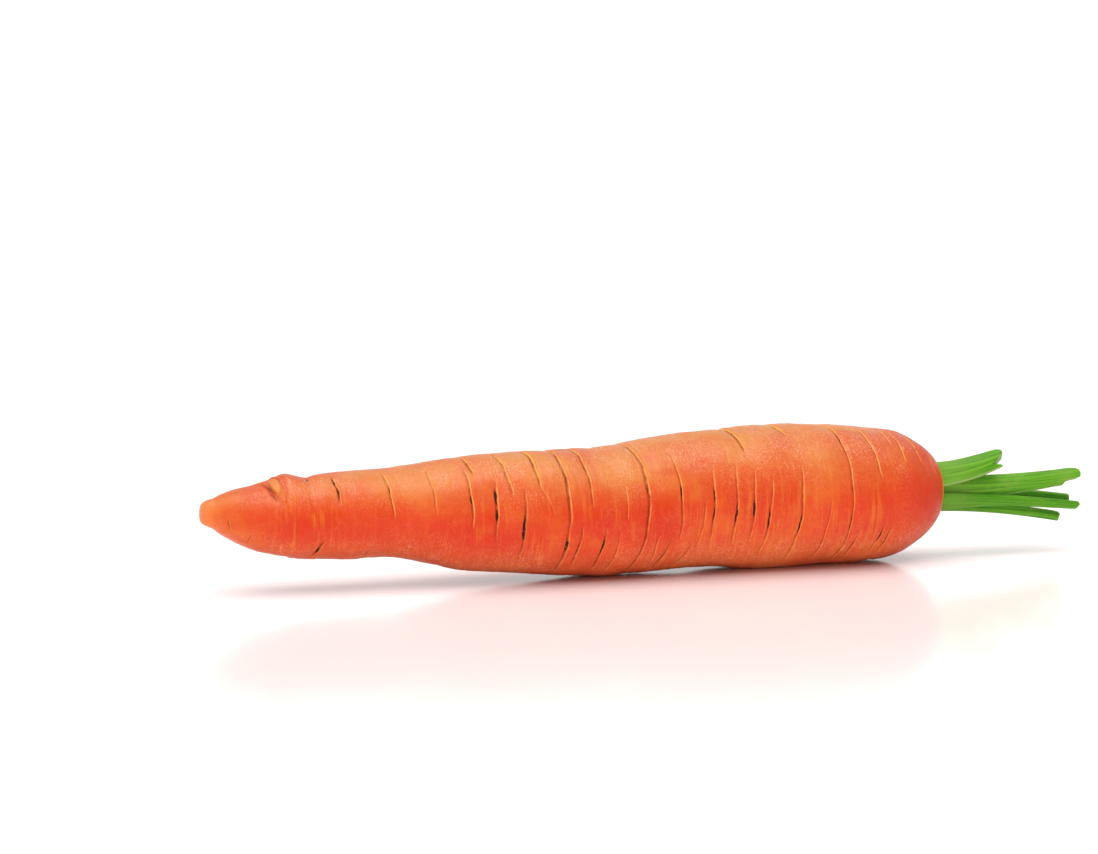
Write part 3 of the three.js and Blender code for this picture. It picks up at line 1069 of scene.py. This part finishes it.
def finish_stalk(stalk, path, name, length):
    """Subdivides a stalk, trims it, turns its outer side the right way and bends it along its path."""
    make_finer(stalk)
    trim_stalk(stalk, name, length)
    bpy.ops.object.mode_set(mode="EDIT")
    bpy.ops.mesh.select_all(action="SELECT")
    turn = math.radians(STALK_LOOKS[name]["facing"] - 90)
    bpy.ops.transform.rotate(value=-turn, orient_axis="X", center_override=(0, 0, 0))
    bpy.ops.object.mode_set(mode="OBJECT")
    bend = stalk.modifiers.new("Bend", "CURVE")
    bend.object = path
    bend.deform_axis = "POS_X"
    apply_modifiers(stalk)
    bpy.data.objects.remove(path)
    shade_smooth(stalk)


stalks = {}
for stalk_name in STALK_LOOKS:
    new_stalk, new_path, new_length = build_stalk(stalk_name)
    paint_stalk(new_stalk, stalk_name, new_length)
    finish_stalk(new_stalk, new_path, stalk_name, new_length)
    stalks[stalk_name] = new_stalk


# ---------------------------------------------------------------- the frame's bodies

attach(root, "root")
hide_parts("taproot")
for stalk_name, stalk in stalks.items():
    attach(stalk, "root")
    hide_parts(stalk_name)


# ---------------------------------------------------------------- studio

def place_camera():
    back = Vector((
        math.sin(CAMERA_AZIMUTH) * math.cos(CAMERA_ELEVATION),
        -math.cos(CAMERA_AZIMUTH) * math.cos(CAMERA_ELEVATION),
        math.sin(CAMERA_ELEVATION),
    ))
    right = Vector((math.cos(CAMERA_AZIMUTH), math.sin(CAMERA_AZIMUTH), 0))
    up = back.cross(right)
    sideways, upwards = AIM_OFFSET
    place = AIM_POINT + back * CAMERA_DISTANCE - right * sideways - up * upwards
    deselect_everything()
    bpy.ops.object.camera_add(
        location=place, rotation=(math.pi / 2 - CAMERA_ELEVATION, 0, CAMERA_AZIMUTH)
    )
    camera = bpy.context.active_object
    camera.data.lens = CAMERA_LENS
    camera.data.clip_start = 0.01
    bpy.context.scene.camera = camera


def soft_key(name, strength, spread):
    """A broad soft light from above, a little towards the camera."""
    deselect_everything()
    bpy.ops.object.light_add(type="SUN")
    key = bpy.context.active_object
    key.name = name
    key.rotation_euler = KEY_HEADING.to_track_quat("-Z", "Y").to_euler()
    key.data.energy = strength
    key.data.angle = spread
    return key


def low_fill():
    """A long low light in front, which lifts the carrot's lower half."""
    deselect_everything()
    bpy.ops.object.light_add(type="AREA", location=FILL_PLACE)
    fill = bpy.context.active_object
    fill.name = "low fill"
    fill.rotation_euler = (FILL_AIM - FILL_PLACE).to_track_quat("-Z", "Y").to_euler()
    fill.data.shape = "RECTANGLE"
    fill.data.size = FILL_LENGTH
    fill.data.size_y = FILL_HEIGHT
    fill.data.energy = FILL_POWER
    fill.visible_camera = False
    fill.visible_glossy = False
    return fill


def light_only(light, pieces):
    """The floor and the carrot have their own lights, so that the floor stays an even white."""
    lit_pieces = bpy.data.collections.new(light.name + " lights")
    for piece in pieces:
        lit_pieces.objects.link(piece)
    light.light_linking.receiver_collection = lit_pieces


def build_floor():
    deselect_everything()
    bpy.ops.mesh.primitive_circle_add(vertices=96, radius=FLOOR_RADIUS, fill_type="NGON", location=(0, 0, 0))
    floor = bpy.context.active_object
    floor.name = "floor"
    pale, _, shader = new_material("pale_floor")
    shader.inputs["Base Color"].default_value = (*FLOOR_COLOUR, 1)
    shader.inputs["Roughness"].default_value = FLOOR_ROUGHNESS
    floor.data.materials.append(pale)
    return floor


def light_world():
    """Lights the studio all round. The camera itself sees plain white behind everything."""
    world = bpy.data.worlds.new("studio")
    world.use_nodes = True
    tree = world.node_tree
    background = tree.nodes["Background"]
    direction = add_node(tree, "ShaderNodeTexCoord").outputs["Generated"]
    towards_dim = add_node(
        tree, "ShaderNodeVectorMath", {0: direction, 1: DIM_SIDE.normalized()}, operation="DOT_PRODUCT"
    )
    height = add_node(tree, "ShaderNodeSeparateXYZ", {0: direction}).outputs["Z"]
    strength = ramp(tree, height, *HORIZON_BAND, HORIZON_STRENGTH, WORLD_STRENGTH)
    share = ramp(tree, towards_dim.outputs["Value"], *DIM_SIDE_EDGE, 1.0, DIM_SIDE_SHARE)
    strength = times(tree, strength, share)
    seen = add_node(tree, "ShaderNodeLightPath").outputs["Is Camera Ray"]
    background.inputs["Color"].default_value = (1, 1, 1, 1)
    tree.links.new(maths(tree, "MAXIMUM", strength, seen), background.inputs["Strength"])
    bpy.context.scene.world = world


place_camera()
light_world()
carrot = [root, *stalks.values()]
light_only(soft_key("floor key", FLOOR_KEY_STRENGTH, FLOOR_KEY_SPREAD), [build_floor()])
light_only(soft_key("carrot key", CARROT_KEY_STRENGTH, CARROT_KEY_SPREAD), carrot)
light_only(low_fill(), carrot)
bpy.context.scene.view_settings.view_transform = "Standard"
